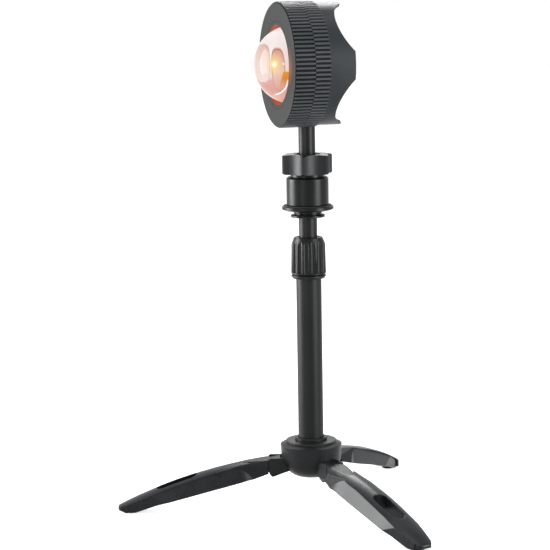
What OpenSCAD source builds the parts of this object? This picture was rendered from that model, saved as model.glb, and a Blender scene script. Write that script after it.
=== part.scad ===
// Sunset projection lamp: a round lamp head with a domed glass lens, on a ball head, a telescopic pole
// and a small tripod with three folding legs. The origin is on the table, under the pole's axis.
// +Z is up, and the lens looks along -Y.

/* [Legs] */
// Turn of the legs about the pole: the angle of the second leg from +X
leg_turn = 14.7; // [0:0.1:60]
// Distance of the legs' hinge pins from the pole's axis
pivot_reach = 24.4; // [24.2:0.1:25.2]
// Height of the hinge pins above the table
pivot_height = 27; // [26.4:0.1:27.6]
// Distance of the feet from the pole's axis
foot_reach = 119.6; // [112:0.2:126]
// Distance from a foot's centre to the tip of its leg
nose_length = 8.7; // [8.2:0.1:10.5]
// Height of the leg's crest above its pin
crest_rise = 8.6; // [8.3:0.1:8.8]
// Height of the leg's crest over the table at its tip
tip_height = 4.4; // [4:0.1:4.8]
// Radius of the arc that the leg's crest follows
crest_radius = 324; // [260:2:420]
// Slope of the root's flat crest, in degrees
root_slope = 7.3; // [6.9:0.1:8.2]
// Radius of the leg's crown, across its width
crown_radius = 22; // [20:0.5:40]
// Half of the leg's width at its root
root_half = 6.6; // [6.4:0.1:7]
// Half of the leg's width at its widest
belly_half = 8.9; // [8.6:0.1:10]
// Radius of the leg's bulging sides, seen from above
side_radius = 279; // [250:1:400]
// Distance from the pin to the widest place
belly_reach = 61.6; // [56:0.2:66]
// Half of the leg's width along its lower edges
flare_half = 11.1; // [10.4:0.1:11.6]
// Lean of the leg's flared sides, in degrees
flare_lean = 15.6; // [12:0.2:18]
// Height of the crease over which the root's sides lean inwards
crease_height = 29.8; // [29.4:0.1:30.2]
// Lean of the root's sides, in degrees
root_lean = 31; // [26:0.5:34]
// Depth of the leg's underside below its pin, near the hub
throat_drop = 1.4; // [1.2:0.1:1.8]
// Distance from the pin to the bend in the underside
bend_reach = 22.9; // [21:0.1:25]
// Drop of the underside's bend below the pin
bend_drop = 7; // [6.6:0.1:7.6]
// Distance from the foot's centre to the knee in the underside
knee_reach = 16.8; // [14:0.2:19]
// Height of the underside's knee over the table
knee_height = 5.8; // [5.2:0.1:6.2]
// Height of the leg's shell above the table, at its foot
sole_height = 0.8; // [0.5:0.1:1.2]
// Radius of the leg's rounded nose, seen from the side
nose_r = 1.7; // [1.3:0.1:2]
// Radius of the rounded corners at the leg's tip, seen from above
tip_corner = 4; // [2.5:0.1:5]
// Depth of the sunk panel on each side of a leg
panel_depth = 1.1; // [0.7:0.1:1.4]
// Distance from the crest down to the sunk panels
panel_lip = 2; // [1.8:0.1:2.6]
// Distance from the pin to the inner ends of the sunk panels
panel_start = 14.4; // [13:0.2:17]
// Radius of the rounded inner end of a panel, seen from the side
panel_round = 9.3; // [8:0.1:10]
// Distance from the foot's centre to the panels' outer ends, along the leg
panel_end = 2; // [0:0.1:4]
// Radius of the cove at the panels' inner ends
cove_radius = 26; // [18:1:40]
// Length of the slot through a leg
slot_length = 28.5; // [20:0.5:31]
// Width of the slot
slot_width = 10; // [7:0.2:11]
// Distance from the pin to the middle of the slot
slot_reach = 65; // [61:0.2:68]
// Bevel round the slot's upper rim
slot_bevel = 0.6; // [0.3:0.1:0.8]
// Length of the sloping facet on the root, up to its shoulder
facet_reach = 23.8; // [22:0.2:25]
// Slope of that facet across the leg, in degrees
facet_slope = 27; // [22:0.5:32]
// Diameter of the rubber foot pads
pad_d = 8.4; // [6:0.2:9]
// Thickness of the foot pads
pad_thick = 1.8; // [1.4:0.1:2.2]
// Diameter of the hinge pins
pin_d = 3; // [2.4:0.1:3.2]

/* [Hub] */
// Height of the hub's underside above the table
hub_clearance = 21.8; // [21:0.1:23]
// Diameter of the hub at its top edge
hub_d = 40.5; // [39.9:0.1:40.9]
// Diameter of the hub where its round underside begins
hub_waist_d = 39.6; // [39:0.1:39.8]
// Radius of the hub's round underside
hub_round = 14.5; // [13.5:0.1:15]
// Height of the hub's top edge above the table
hub_top = 43.6; // [42:0.1:45]
// Rise of the sloping band from the hub's edge to the plate
band_rise = 1.2; // [0.8:0.1:1.6]
// Wall of the hub
hub_wall = 2.4; // [2:0.1:2.8]
// Diameter of the plate on the hub
plate_d = 33.8; // [31:0.2:35]
// Thickness of the plate
plate_thick = 1.4; // [1:0.1:2]
// Diameter of the collar round the tube
collar_d = 21.2; // [19.6:0.2:24]
// Height of the collar
collar_h = 2.1; // [1.6:0.1:3]
// Radius of the hinge lugs round their pin
lug_radius = 4; // [3.8:0.1:4.1]
// Height of the lugs' flat top above the pin
lug_rise = 8.3; // [8:0.1:8.5]
// Radius of the lugs' outer top corner
lug_corner = 2; // [1.2:0.1:2.6]
// Thickness of one hinge lug
lug_thick = 2.3; // [2:0.1:2.6]
// Half of the width of the leg's tongue between its lugs
tongue_half = 4.4; // [4.2:0.1:4.6]
// Radius of the tongue's heel, behind the pin
heel_radius = 3.8; // [3.6:0.1:3.9]

/* [Pole] */
// Outer diameter of the main tube
tube_d = 16.6; // [16.2:0.1:17]
// Wall of the main tube
tube_wall = 1.1; // [0.9:0.1:1.3]
// Height of the main tube's top end above the table
tube_top = 157; // [140:1:175]
// Width of the ring between the tube's bore and the sliding rod
guide_wall = 1.25; // [1.05:0.05:1.5]
// Wall of the sliding rod
rod_wall = 1.2; // [0.8:0.1:1.6]
// Length of the sliding rod
rod_length = 147; // [120:1:150]
// Length of rod showing above the lock nut
rod_show = 13.2; // [12.4:0.2:30]
// Height of the lock nut
nut_h = 26.9; // [24:0.1:30]
// Distance that the lock nut reaches down over the tube
nut_overlap = 2.9; // [2:0.1:4]
// Diameter of the lock nut over its flutes
nut_d = 22; // [21.4:0.2:23]
// Diameter of the lock nut's foot ring
nut_ring_d = 22.6; // [22:0.2:24]
// Diameter of the lock nut's top rim
nut_rim_d = 18.6; // [17.6:0.2:20]
// Radius that the lock nut gains from its top down to its foot
nut_flare = 0.4; // [0:0.05:0.5]
// Number of flutes on the lock nut
nut_flutes = 16; // [12:1:18]
// Angle of the lock nut's first flute
nut_turn = 20; // [0:0.5:30]
// Radius of one flute
flute_radius = 2.25; // [1.8:0.05:2.6]
// Depth of one flute
flute_depth = 0.9; // [0.6:0.05:1.1]
// Height of the collet above the tube's end
collet_rise = 18.5; // [16:0.5:19]
// Length of the collet inside the tube
collet_grip = 14; // [10:0.5:18]
// Wall of the collet where it grips the rod
collet_wall = 3; // [2.7:0.1:3.2]
// Height of the guide bush at the rod's lower end
guide_h = 8; // [6:0.5:12]

/* [Platform] */
// Diameter of the rod's seat flange
seat_d = 22.1; // [20:0.1:26]
// Thickness of the seat flange
seat_thick = 1.5; // [1:0.1:2]
// Diameter of the neck over the seat flange
seat_neck_d = 18.4; // [16:0.2:20]
// Height of the neck
seat_neck_h = 2.8; // [2.4:0.1:4]
// Diameter of the platform
platform_d = 33.5; // [29:0.5:38]
// Thickness of the platform
platform_thick = 2.8; // [2.4:0.1:3.6]
// Thickness of the friction pad on the platform
platform_pad_h = 0.7; // [0.5:0.1:1]
// Diameter of the camera-thread stud
stud_d = 6.35; // [6:0.05:7]
// Length of stud standing over the platform's pad
stud_show = 5.6; // [5:0.1:6.5]

/* [Ball head] */
// Diameter of the ball
ball_d = 18; // [17.4:0.1:18.4]
// Diameter of the socket's body
socket_d = 27.4; // [26:0.2:30]
// Height of the socket's body
socket_h = 18.3; // [17:0.1:20]
// Bevel at the socket's shoulder
socket_bevel = 1; // [0.6:0.1:1.8]
// Diameter of the socket's threaded neck
neck_d = 21.8; // [21:0.1:22.4]
// Height of neck showing under the clamp nut
neck_show = 1.9; // [1.4:0.1:3]
// Diameter of the clamp nut over its ridges
knob_d = 34; // [33.4:0.2:36]
// Height of the clamp nut
knob_h = 12.8; // [12.6:0.1:13.4]
// Number of ridges on the clamp nut
knob_ridges = 6; // [5:1:7]
// Radius of the hollows between the ridges
hollow_radius = 18; // [17:0.5:22]
// Least radius of the clamp nut, in its hollows
hollow_depth_r = 13.5; // [13.3:0.1:14]
// Angle of the clamp nut's first ridge
knob_turn = 33; // [0:1:59]
// Radius of the opening round the stem in the clamp nut's top
mouth_radius = 8.7; // [8.5:0.05:8.9]
// Depth of the ball's centre below the clamp nut's top
ball_depth = 7.9; // [7.6:0.1:8.2]
// Diameter of the stem between the ball and the lamp head
stem_d = 10.8; // [10:0.1:11]
// Length of stem showing between the clamp nut and the lamp head
stem_show = 17.4; // [16:0.1:26]
// Length of stem inside the lamp head
stem_grip = 5.6; // [5:0.1:5.8]

/* [Lamp head] */
// Diameter of the lamp head
head_d = 80.5; // [78:0.5:84]
// Depth of the front bezel's ribbed band
front_band = 13.2; // [12.4:0.1:14]
// Depth of the rear housing's ribbed band
rear_band = 10; // [9:0.1:11]
// Depth of the smooth skirt at its four lobes
lobe_depth = 16.8; // [14:0.1:18]
// Depth of the smooth skirt in the valleys between the lobes
valley_depth = 7.6; // [6.3:0.1:8.4]
// Radius of the skirt's scallops
scallop_radius = 28; // [24:0.5:34]
// Step from the ribbed bands down to the smooth skirt
skirt_step = 1; // [0.6:0.1:1.4]
// Number of ribs round each band
rib_count = 90; // [60:1:120]
// Height of one rib
rib_height = 0.7; // [0.4:0.05:0.9]
// Wall of the head's shells
shell_wall = 2.4; // [2:0.1:2.8]
// Thickness of the front face
face_thick = 2.2; // [1.8:0.1:2.6]
// Distance from the front face back to the stem's axis
stem_setback = 19.5; // [18.8:0.05:20]
// Thickness of the bulkhead that carries the light engine
bulkhead_thick = 1.6; // [1.2:0.1:2]
// Depth of the bulkhead's front behind the front face
bulkhead_depth = 23.4; // [22.8:0.1:24]
// Thickness of the back plate
back_thick = 1.6; // [1.2:0.1:1.8]

/* [Optics] */
// Diameter of the glass dome
lens_d = 50; // [48:0.5:51]
// Depth of the dome's centre behind the front face
lens_depth = 10.6; // [10:0.1:11]
// Diameter of the rim of the lens
lens_rim_d = 55; // [53.5:0.1:55.4]
// Thickness of the rim of the lens
lens_rim_thick = 2.4; // [1.8:0.1:2.6]
// Diameter of the opening round the dome
aperture_d = 51.2; // [51:0.1:52]
// Diameter of the groove between the lens ring and the face
lens_ring_d = 56; // [55:0.1:57]
// Wall of the lens ring, behind the face
lens_ring_wall = 3.4; // [2.4:0.1:4]
// Thickness of the colour film
film_thick = 0.4; // [0.2:0.1:0.5]
// Thickness of the gasket behind the film
gasket_thick = 0.6; // [0.4:0.1:0.8]
// Thickness of the retaining ring
retainer_thick = 1.2; // [1:0.1:1.3]
// Diameter of the light cup's rear opening
cup_throat_d = 15; // [13:0.2:17]
// Wall of the light cup
cup_wall = 0.7; // [0.5:0.1:0.8]
// Diameter of the light source's board
led_board_d = 28; // [26:0.2:30]
// Thickness of the light source's board
led_board_thick = 1.2; // [0.8:0.1:1.4]
// Width of the light source
led_w = 8; // [6:0.2:9]
// Width of one fin of the heat sink
fin_w = 1.2; // [0.8:0.1:1.6]
// Diameter of the heat sink
sink_d = 37; // [35:0.2:38.4]
// Thickness of the heat sink's base
sink_thick = 1.4; // [1:0.1:1.6]
// Number of fins on the heat sink
fin_count = 7; // [5:2:9]

/* [Electrics] */
// Distance of the button and the inlet from the head's centre
control_reach = 25.5; // [24.8:0.1:26]
// Diameter of the power button
button_d = 10; // [8.6:0.2:11]
// Travel of the power button
button_travel = 0.8; // [0.5:0.1:1]
// Height of the button over the back plate
button_rise = 1.6; // [1.2:0.1:2.4]
// Width of the power inlet's shell
inlet_w = 9; // [8.6:0.1:9.4]
// Height of the power inlet's shell
inlet_h = 3.3; // [3.1:0.1:3.5]
// Thickness of the control board
control_board_thick = 1; // [0.8:0.1:1.2]
// Number of cooling slots in the back plate
vent_count = 16; // [10:1:20]
// Diameter of the small screws
screw_d = 2; // [1.6:0.1:2.2]

/* [Fits] */
// Radial clearance of a turning or sliding fit
run_gap = 0.06; // [0.04:0.01:0.08]
// Clearance between flat faces that move past each other
face_gap = 0.1; // [0.08:0.01:0.15]
// Clearance round a hinge lug
lug_gap = 0.3; // [0.25:0.01:0.4]

/* [Hidden] */
$fn = 96;

// Heights in the stand
band_top = hub_top + band_rise;
plate_top = band_top + plate_thick;
collar_top = plate_top + collar_h;
socket_floor = hub_clearance + 4.2;
plug_h = 8;
tube_bore_r = tube_d / 2 - tube_wall;
rod_r = tube_bore_r - guide_wall;
nut_foot = tube_top - nut_overlap;
nut_top = nut_foot + nut_h;
rod_top = nut_top + rod_show;
rod_foot = rod_top - rod_length;
seat_top = rod_top + seat_thick;
seat_neck_top = seat_top + seat_neck_h;
platform_top = seat_neck_top + platform_thick;
pad_top = platform_top + platform_pad_h;
socket_foot = pad_top + face_gap / 2;
socket_top = socket_foot + socket_h;
knob_foot = socket_top + neck_show;
knob_top = knob_foot + knob_h;
ball_z = knob_top - ball_depth;
head_z = knob_top + stem_show + head_d / 2;

// Legs, each drawn along +X with the pole's axis at the origin
nose_reach = foot_reach + nose_length;
leg_angles = [leg_turn - 120, leg_turn, leg_turn + 120];
crest_a = [pivot_reach, pivot_height + crest_rise];
root_end = pivot_reach + facet_reach;
crest_b = [nose_reach, tip_height];
crest_mid = (crest_a + crest_b) / 2;
crest_half = norm(crest_b - crest_a) / 2;
crest_dir = (crest_b - crest_a) / (2 * crest_half);
crest_fall = sqrt(crest_radius * crest_radius - crest_half * crest_half);
crest_centre = crest_mid + crest_fall * [crest_dir[1], -crest_dir[0]];
root_crest = crest_centre[1] + sqrt(crest_radius ^ 2 - (root_end - crest_centre[0]) ^ 2);
bend = [pivot_reach + bend_reach, pivot_height - bend_drop];
knee = [foot_reach - knee_reach, knee_height];
under_slope = atan((bend[1] - knee[1]) / (knee[0] - bend[0]));
lug_outer = tongue_half + face_gap + lug_thick;

// Depths in the lamp head, behind its front face
skirt_depth = front_band + rear_band;
lobe_end = skirt_depth + lobe_depth;
valley_end = skirt_depth + valley_depth;
head_r = head_d / 2;
inner_r = head_r - skirt_step - shell_wall;
spigot_r = inner_r - run_gap;
lens_r = lens_d / 2;
rim_depth = lens_depth;
film_depth = rim_depth + lens_rim_thick;
gasket_depth = film_depth + film_thick;
retainer_depth = gasket_depth + gasket_thick;
ring_end = retainer_depth + retainer_thick;
ring_bore_r = lens_rim_d / 2 + 0.1;
ring_outer_r = ring_bore_r + lens_ring_wall;
cup_depth = ring_end + 0.4;
sink_depth = bulkhead_depth - sink_thick;
led_board_depth = sink_depth - led_board_thick;
led_depth = led_board_depth - 0.8;
control_depth = bulkhead_depth - control_board_thick;
back_depth = valley_end - 0.1 - back_thick;
spigot_depth = 5.5;
bulkhead_hole_r = sink_d / 2 - 4;
screw_r = screw_d / 2;
screw_head_r = 1.9 * screw_r;
screw_head_h = screw_r;
led_screw_reach = led_board_d / 2 - 2.4;
post_r = 3 * screw_r;
switch_w = 6;
back_screw_reach = inner_r - post_r - 1;
control_screw_reach = control_reach;
post_angles = [30, 150, 210, 330];

// ---------------------------------------------------------------- shared shapes

module tube(z0, z1, outer, bore = 0) {
    translate([0, 0, z0]) difference() {
        cylinder(r = outer, h = z1 - z0);
        if (bore > 0) translate([0, 0, -1]) cylinder(r = bore, h = z1 - z0 + 2);
    }
}

// A turned solid: the points are [radius, height]
module turned(points) {
    rotate_extrude() polygon(points);
}

// Places children in the lamp head: local +Z points out of the lens, and 0 is the front face
module in_head() {
    translate([0, -stem_setback, head_z]) rotate([90, 0, 0]) children();
}

// A ring in the lamp head between two depths behind the front face
module head_ring(depth0, depth1, outer, bore = 0) {
    tube(-depth1, -depth0, outer, bore);
}

// A slot with round ends, along X
module stadium(length, width) {
    straight = length - width;
    square([straight, width], center = true);
    for (side = [-1, 1]) translate([side * straight / 2, 0]) circle(d = width);
}

// A ribbed round outline, with the ribs as flat-topped teeth
module ribbed_outline(outer, height, count, turn) {
    step = 360 / count;
    polygon([for (i = [0 : count - 1], corner = [[0, 0], [0.3, 0], [0.45, 1], [0.85, 1]])
        let (a = turn + (i + corner[0]) * step, r = outer - height * (1 - corner[1]))
        [r * cos(a), r * sin(a)]]);
}

// A ribbed band of the lamp head, with a bevel on the chosen edge
module ribbed_band(depth0, depth1, bore, turn, front_bevel) {
    bevel = 0.8;
    outer = head_r + 0.5;
    difference() {
        translate([0, 0, -depth1]) linear_extrude(depth1 - depth0)
            ribbed_outline(head_r, rib_height, rib_count, turn);
        head_ring(depth0 - 1, depth1 + 1, bore);
        if (front_bevel) translate([0, 0, -depth0]) turned([
            [head_r - bevel, 0], [outer, -bevel - 0.5], [outer, 1], [head_r - bevel, 1]
        ]);
    }
}

// A pan-head screw that points along -Z, with its head's seat at 0 and a cross recess
module pan_screw(shank_r, shank_l, head_r, head_h) {
    difference() {
        union() {
            translate([0, 0, -shank_l]) cylinder(r = shank_r, h = shank_l);
            cylinder(r = head_r, h = head_h);
        }
        translate([0, 0, head_h]) for (a = [0, 90]) rotate(a)
            cube([head_r * 1.2, head_r * 0.3, head_h], center = true);
    }
}

// ---------------------------------------------------------------- legs

// Turns one leg, drawn along +X, to its place
module at_leg(i) {
    rotate(leg_angles[i]) children();
}

// Places children on a leg's hinge axis, as solids along Y
module at_pivot(width) {
    translate([pivot_reach, width / 2, pivot_height]) rotate([90, 0, 0]) children();
}

// The outline of the leg's crown from above
module crown_plan() {
    tip_half = belly_half - (nose_reach - pivot_reach - belly_reach) ^ 2 / (2 * side_radius);
    body_end = nose_reach - tip_corner;
    intersection() {
        intersection_for(side = [-1, 1])
            translate([pivot_reach + belly_reach, side * (belly_half - side_radius)])
                circle(r = side_radius, $fn = 360);
        union() {
            translate([0, -20]) square([body_end, 40]);
            translate([0, tip_corner - tip_half]) square([nose_reach, 2 * (tip_half - tip_corner)]);
            for (side = [-1, 1]) translate([body_end, side * (tip_half - tip_corner)]) circle(r = tip_corner);
        }
    }
    translate([0, -root_half]) square([root_end + 1, 2 * root_half]);
}

// Everything inside the leg's outline from the side, under its crest
module leg_side() {
    nose_x = nose_reach - nose_r;
    nose_fall = crest_radius - nose_r + 0.15;
    nose = [nose_x, crest_centre[1] + sqrt(nose_fall ^ 2 - (nose_x - crest_centre[0]) ^ 2)];
    over = (nose - crest_centre) / nose_fall * 12;
    heel_x = pivot_reach - heel_radius;
    heel_top = root_crest + (root_end - heel_x) * tan(root_slope);
    translate([0, 20, 0]) rotate([90, 0, 0]) {
        linear_extrude(40) polygon([
            [pivot_reach, pivot_height], [heel_x, pivot_height], [heel_x, heel_top], [root_end, root_crest],
            [root_end, root_crest + 8], nose + over, nose, nose - [0, 0.9 * nose_r],
            [foot_reach + 0.45 * pad_d, sole_height], [foot_reach - 0.33 * pad_d, sole_height], knee, bend,
            [pivot_reach + lug_radius, pivot_height - throat_drop],
            [pivot_reach, pivot_height - heel_radius + 0.2]
        ]);
        translate([nose[0], nose[1], 0]) cylinder(r = nose_r, h = 40);
        translate([pivot_reach, pivot_height, 0]) cylinder(r = heel_radius - 0.02, h = 40);
    }
}

// The arched body that the crest and the crown bound from above
module crest_arch() {
    translate([crest_centre[0], 0, crest_centre[1]]) rotate([90, 0, 0]) rotate_extrude($fn = 360)
        intersection() {
            translate([crest_radius - crown_radius, 0]) circle(r = crown_radius);
            translate([crest_radius - 22, -14]) square([22, 28]);
        }
}

// A solid that holds all of the leg on one side of a vertical slab, for cutting
module side_slab(side, inner) {
    translate([0, side > 0 ? inner : -20 - inner, -5]) cube([nose_reach + 5, 20, 60]);
}

// Everything outside one flared side of the leg, moved inwards by an inset, beyond a distance from the bend
module flare_cut(side, inset, start) {
    half = flare_half - inset;
    far = side > 0 ? 0 : -20;
    translate([bend[0], side * half, bend[1]]) rotate([0, under_slope, 0]) rotate([side * flare_lean, 0, 0])
        translate([start, far, -40]) cube([120, 20, 80]);
    // The tip narrows to the crown's width
    translate([knee[0] - 10, side * (half + 0.3), -5]) rotate([0, 0, -side * 9]) translate([0, far, 0])
        cube([60, 20, 60]);
}

// Everything outside one leaning side of the leg's root
module root_cut(side) {
    translate([bend[0], side * root_half, crease_height + 0.6]) rotate([0, 0, side * 2])
        rotate([side * root_lean, 0, 0]) translate([-60, side > 0 ? 0 : -20, -60]) cube([180, 20, 120]);
}

// The leg's lower body, with flared sides
module flared_body() {
    difference() {
        translate([0, -14, 0]) cube([nose_reach - tip_corner, 28, 60]);
        for (side = [-1, 1]) {
            flare_cut(side, 0, -60);
            root_cut(side);
        }
    }
}

// What is cut from one side of a leg to leave its sunk panel
module panel_cut(side) {
    start = pivot_reach + panel_start + panel_round;
    finish = foot_reach + panel_end;
    end_r = 4;
    // The cove starts just inside the panel's rounded end
    cove_length = sqrt(pow(cove_radius, 2) - pow(cove_radius - panel_depth, 2));
    cove_end = pivot_reach + panel_start - bend[0] + cove_length - 1;
    intersection() {
        // Region seen from the side, bounded above by an arc that runs along the crest
        translate([crest_centre[0], 30, crest_centre[1]]) rotate([90, 0, 0])
            cylinder(r = crest_radius - panel_lip, h = 60, $fn = 360);
        translate([0, 30, 0]) rotate([90, 0, 0]) union() {
            translate([start, -5, 0]) cube([finish - start - end_r, 60, 60]);
            translate([start, pivot_height - 6, 0]) cylinder(r = panel_round, h = 60);
            translate([finish - end_r - 1, -5, 0]) cube([end_r + 1, 5 + tip_height + 0.6, 60]);
            translate([finish - end_r, tip_height + 0.6, 0]) cylinder(r = end_r, h = 60);
        }
        union() {
            flare_cut(side, panel_depth, cove_end);
            // Cove at the inner end, a hair deeper than the panel
            translate([bend[0], side * (flare_half - panel_depth), bend[1]]) rotate([0, under_slope, 0])
                rotate([side * flare_lean, 0, 0]) translate([cove_end, side * (cove_radius - 0.05), -40])
                    cylinder(r = cove_radius, h = 80);
        }
    }
}

// The sloping facet on the counterclockwise side of a leg's root
module root_facet() {
    corner = [pivot_reach + facet_reach * 0.64, root_half + 0.4];
    intersection() {
        linear_extrude(60) polygon([
            [root_end, 0], corner, corner + [-2, 8], [pivot_reach - 2, root_half + 8], [pivot_reach - 2, 0]
        ]);
        translate([root_end, 0, root_crest + 0.05]) rotate([-facet_slope, 18, 0])
            translate([-60, -30, 0]) cube([90, 60, 30]);
    }
}

// The slot through the leg, square to the crest there, with a bevelled upper rim
module leg_slot() {
    reach = pivot_reach + slot_reach;
    lean = asin((reach - crest_centre[0]) / crest_radius);
    crest_z = crest_centre[1] + sqrt(crest_radius ^ 2 - (reach - crest_centre[0]) ^ 2) - 0.12;
    straight = slot_length - slot_width;
    low = -slot_bevel - 0.5;
    wide = slot_width / 2 + slot_bevel + 1;
    translate([reach, 0, crest_z]) rotate([0, lean, 0]) {
        translate([0, 0, -25]) linear_extrude(40) stadium(slot_length, slot_width);
        for (end = [-1, 1]) translate([end * straight / 2, 0, low])
            cylinder(r1 = slot_width / 2 - 0.5, r2 = wide, h = 1 - low);
        rotate([90, 0, 90]) linear_extrude(straight, center = true) polygon([
            [0.5 - slot_width / 2, low], [slot_width / 2 - 0.5, low], [wide, 1], [-wide, 1]
        ]);
    }
}

module leg() {
    difference() {
        intersection() {
            crest_arch();
            leg_side();
            union() {
                linear_extrude(60) crown_plan();
                flared_body();
            }
        }
        panel_cut(1);
        panel_cut(-1);
        root_facet();
        leg_slot();
        // The shoulders stand clear of the lugs on either side of the tongue
        for (side = [-1, 1]) intersection() {
            side_slab(side, tongue_half);
            translate([0, -30, -5]) cube([pivot_reach + lug_radius + lug_gap, 60, 60]);
        }
        at_pivot(60) cylinder(d = pin_d + 2 * run_gap, h = 60);
        translate([foot_reach, 0, -1]) cylinder(d = pad_d, h = pad_thick + 1);
    }
}

module leg_pins() {
    color("#2b2d2f") for (i = [0 : 2]) at_leg(i) at_pivot(2 * lug_outer)
        cylinder(d = pin_d, h = 2 * lug_outer);
}

module foot_pad(i) {
    color("#1c1c1c") at_leg(i) translate([foot_reach, 0, 0]) turned([
        [0, 0], [pad_d / 2 - 0.3, 0], [pad_d / 2, 0.3], [pad_d / 2, pad_thick], [0, pad_thick]
    ]);
}

// ---------------------------------------------------------------- hub and main tube

// One hinge lug, as seen from the side, and its flared lower part
module lug(side) {
    end = pivot_reach + lug_radius;
    top = pivot_height + lug_rise;
    inner = tongue_half + face_gap;
    difference() {
        translate([0, side > 0 ? lug_outer + 1.2 : -inner, 0]) rotate([90, 0, 0]) intersection() {
            linear_extrude(lug_thick + 1.2) polygon([
                [hub_waist_d / 2 - 4, top], [end, top], [end, pivot_height - lug_radius],
                [end - 2, pivot_height - lug_radius], [hub_waist_d / 2 - 5.5, pivot_height - 0.2]
            ]);
            union() {
                translate([pivot_reach, pivot_height, -1]) cylinder(r = lug_radius, h = 20);
                translate([0, 0, -1]) cube([pivot_reach, 60, 20]);
                translate([0, pivot_height, -1]) cube([end, lug_rise - lug_corner, 20]);
                translate([0, pivot_height, -1]) cube([end - lug_corner, lug_rise + 1, 20]);
                translate([end - lug_corner, top - lug_corner, -1]) cylinder(r = lug_corner, h = 20);
            }
        }
        // Upright above, flared below
        translate([0, side > 0 ? lug_outer : -lug_outer - 20, pivot_height - 1.6]) cube([60, 20, 40]);
        translate([pivot_reach, side * lug_outer, pivot_height - 1.6]) rotate([side * root_lean, 0, 0])
            translate([-30, side > 0 ? 0 : -20, -30]) cube([60, 20, 30]);
    }
}

module hub_body() {
    waist_r = hub_waist_d / 2;
    round_z = hub_clearance + hub_round;
    flat_r = waist_r - hub_round;
    boss_r = tube_d / 2 + hub_wall;
    core_r = waist_r - 2 * hub_wall;
    color("#26282a") difference() {
        union() {
            rotate_extrude() {
                intersection() {
                    translate([flat_r, round_z]) circle(r = hub_round);
                    translate([0, hub_clearance]) square([waist_r, hub_round]);
                }
                translate([0, hub_clearance]) square([flat_r, hub_round]);
                polygon([
                    [0, round_z - 1], [flat_r + 1, round_z - 1], [waist_r, round_z], [hub_d / 2, hub_top],
                    [plate_d / 2 + 0.6, band_top], [0, band_top]
                ]);
            }
            for (i = [0 : 2]) at_leg(i) for (side = [-1, 1]) lug(side);
        }
        // Hollow ring round the tube's boss, under the plate
        tube(pivot_height + lug_rise, band_top + 1, core_r, boss_r);
        tube(socket_floor, band_top + 1, tube_d / 2);
        translate([0, 0, hub_clearance - 1]) cylinder(r = 2.05, h = 12);
        translate([0, 0, hub_clearance - 1]) cylinder(r = 4.2, h = 3.2);
        for (i = [0 : 2]) at_leg(i) at_pivot(60) cylinder(d = pin_d, h = 60);
    }
}

module hub_plate() {
    color("#2c2e30") turned([
        [tube_d / 2, band_top], [plate_d / 2, band_top], [plate_d / 2, plate_top - 0.4],
        [plate_d / 2 - 0.4, plate_top], [tube_d / 2, plate_top]
    ]);
}

module tube_collar() {
    color("#2c2e30") turned([
        [tube_d / 2, plate_top], [collar_d / 2, plate_top], [collar_d / 2, collar_top - 0.5],
        [collar_d / 2 - 0.5, collar_top], [tube_d / 2 + 0.7, collar_top], [tube_d / 2, collar_top - 0.7]
    ]);
}

module main_tube() {
    color("#222426") tube(socket_floor, tube_top, tube_d / 2, tube_bore_r);
}

module tube_plug() {
    color("#3a3a3a") tube(socket_floor, socket_floor + plug_h, tube_bore_r, 2);
}

module hub_screw() {
    color("silver") translate([0, 0, hub_clearance + 2.2]) rotate([180, 0, 0]) pan_screw(2, 8, 4, 2);
}

// ---------------------------------------------------------------- twist lock and rod

collet_r = rod_r + collet_wall - 0.25;
collet_top = tube_top + collet_rise;
collet_foot = tube_top - collet_grip;
module collet_sleeve() {
    color("#d8d8d2") difference() {
        turned([
            [rod_r + run_gap, collet_foot], [tube_bore_r, collet_foot], [tube_bore_r, tube_top],
            [collet_r, tube_top], [collet_r, collet_top - 4], [collet_r - 1.2, collet_top],
            [rod_r + run_gap, collet_top]
        ]);
        for (a = [0, 90]) rotate(a) translate([-20, -0.5, tube_top + 3]) cube([40, 1, 60]);
    }
}

module lock_nut() {
    nut_r = nut_d / 2;
    rim_r = nut_rim_d / 2;
    ring_r = nut_ring_d / 2;
    foot_r = nut_r - 0.45;
    color("#2b2d2f") difference() {
        turned([
            [0, nut_foot], [foot_r, nut_foot], [ring_r, nut_foot + 1.3], [ring_r, nut_foot + 2],
            [foot_r, nut_foot + 2.6], [nut_r + nut_flare, nut_foot + 3.2],
            [nut_r + nut_flare, nut_foot + 3.9], [nut_r, nut_top - 5], [nut_r - 0.35, nut_top - 3.6],
            [rim_r, nut_top - 0.3], [rim_r - 0.3, nut_top], [rim_r - 1.4, nut_top],
            [rim_r - 2, nut_top - 0.5], [0, nut_top - 0.5]
        ]);
        tube(nut_foot - 1, tube_top + face_gap, tube_d / 2 + run_gap);
        tube(tube_top, collet_top - 4, collet_r + run_gap);
        translate([0, 0, collet_top - 4.01])
            cylinder(r1 = collet_r + run_gap, r2 = collet_r - 1.2 + run_gap, h = 4.01);
        tube(collet_top - 0.01, collet_top + 0.6, collet_r - 1.2 + run_gap);
        tube(nut_foot, nut_top + 1, rod_r + 0.25);
        for (i = [0 : nut_flutes - 1]) rotate(nut_turn + i * 360 / nut_flutes)
            translate([nut_r - flute_depth + flute_radius, 0, nut_foot + 3.9])
                cylinder(r = flute_radius, h = nut_h, $fn = 48);
    }
}

module pole_rod() {
    color("#2e3032") tube(rod_foot, rod_top, rod_r, rod_r - rod_wall);
}

module rod_guide() {
    color("#e0e0dc") tube(rod_foot, rod_foot + guide_h, tube_bore_r - run_gap, rod_r);
}

// ---------------------------------------------------------------- platform

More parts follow.
